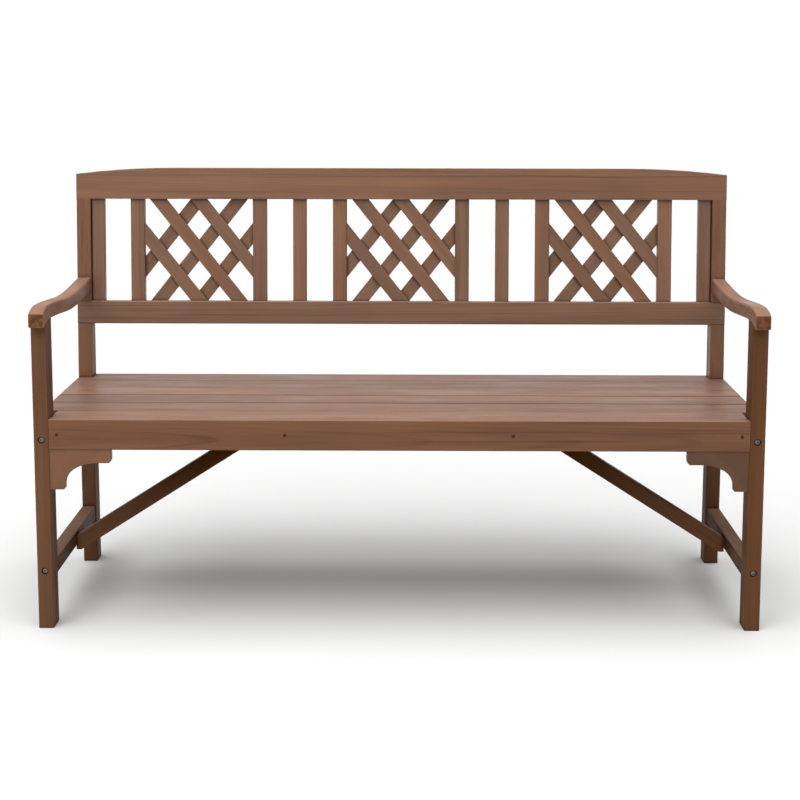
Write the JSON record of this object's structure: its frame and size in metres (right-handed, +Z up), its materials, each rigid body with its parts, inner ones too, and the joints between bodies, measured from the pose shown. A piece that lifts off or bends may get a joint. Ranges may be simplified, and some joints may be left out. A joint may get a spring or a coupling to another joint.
{
  "type": "garden bench",
  "caption": "Slatted wooden garden bench with curved arms, diagonal under-seat braces and a back with trellis panels between straight slats.",
  "frame": {"origin": "on the floor, under the middle of the bench's overall box", "axes": "+X along the seat towards the right as seen from the front, +Y from the front to the back, +Z up"},
  "size_m": [1.48, 0.5446, 0.9173],
  "materials": {
    "timber": "brown stained softwood, satin",
    "fixings": "zinc plated"
  },
  "bodies": {
    "root": {"arm_left": "timber", "arm_right": "timber", "back_slat_left": "timber", "back_slat_right": "timber", "barrel_nuts": "fixings", "brace_left": "timber", "brace_right": "timber", "corner_bracket_left": "timber", "corner_bracket_right": "timber", "end_bearer_left": "timber", "end_bearer_right": "timber", "end_stile_left": "timber", "end_stile_right": "timber", "frame_bolts": "fixings", "front_apron": "timber", "front_leg_left": "timber", "front_leg_right": "timber", "inner_bearer_left": "timber", "inner_bearer_right": "timber", "lattice_stile_left_1": "timber", "lattice_stile_left_2": "timber", "lattice_stile_middle_1": "timber", "lattice_stile_middle_2": "timber", "lattice_stile_right_1": "timber", "lattice_stile_right_2": "timber", "lattice_strip_left_front_1": "timber", "lattice_strip_left_front_2": "timber", "lattice_strip_left_front_3": "timber", "lattice_strip_left_rear_1": "timber", "lattice_strip_left_rear_2": "timber", "lattice_strip_left_rear_3": "timber", "lattice_strip_middle_front_1": "timber", "lattice_strip_middle_front_2": "timber", "lattice_strip_middle_front_3": "timber", "lattice_strip_middle_rear_1": "timber", "lattice_strip_middle_rear_2": "timber", "lattice_strip_middle_rear_3": "timber", "lattice_strip_right_front_1": "timber", "lattice_strip_right_front_2": "timber", "lattice_strip_right_front_3": "timber", "lattice_strip_right_rear_1": "timber", "lattice_strip_right_rear_2": "timber", "lattice_strip_right_rear_3": "timber", "long_screws": "fixings", "lower_back_rail": "timber", "rear_leg_left": "timber", "rear_leg_right": "timber", "rear_rail": "timber", "seat_slat_1": "timber", "seat_slat_2": "timber", "seat_slat_3": "timber", "seat_slat_4": "timber", "seat_slat_5": "timber", "seat_slat_6": "timber", "short_screws": "fixings", "side_rail_left": "timber", "side_rail_right": "timber", "stretcher_left": "timber", "stretcher_right": "timber", "top_rail": "timber"}
  },
  "joints": []
}
